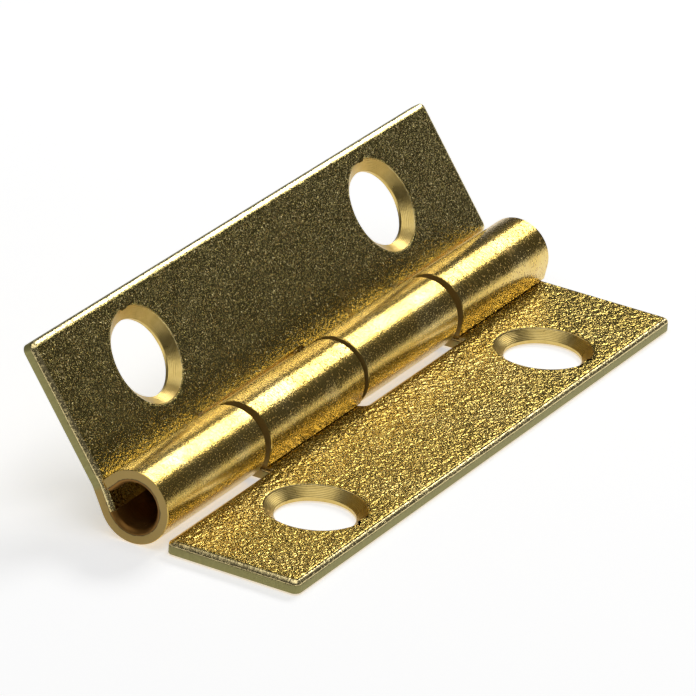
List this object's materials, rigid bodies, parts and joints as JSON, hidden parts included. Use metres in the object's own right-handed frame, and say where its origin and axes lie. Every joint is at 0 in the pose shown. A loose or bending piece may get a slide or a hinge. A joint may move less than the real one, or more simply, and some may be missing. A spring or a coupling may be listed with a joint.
{
  "type": "butt hinge",
  "caption": "Light narrow butt hinge: two pressed, rolled and countersunk sheet leaves turning on a wire pin, standing part open.",
  "frame": {"origin": "middle of the flat front leaf's row of screw holes, on its back face", "axes": "+X along the hinge pin, +Y from the front leaf's free edge towards the pin, +Z out of the front leaf's countersunk face"},
  "size_m": [0.038, 0.0158, 0.0087],
  "materials": {
    "leaf_plating": "bright electro-brassed pressed steel, slightly pebbled",
    "pin_wire": "thinly brassed drawn steel wire"
  },
  "bodies": {
    "front": {"front_leaf": "leaf_plating", "hinge_pin": "pin_wire"},
    "rear": {"rear_leaf": "leaf_plating"}
  },
  "joints": [
    {"name": "leaf_swing", "type": "hinge", "parent": "front", "child": "rear", "pos_m": [0, 0.0057, 0.00185], "axis": [-1, 0, 0], "range_deg": [-138, 128]}
  ]
}
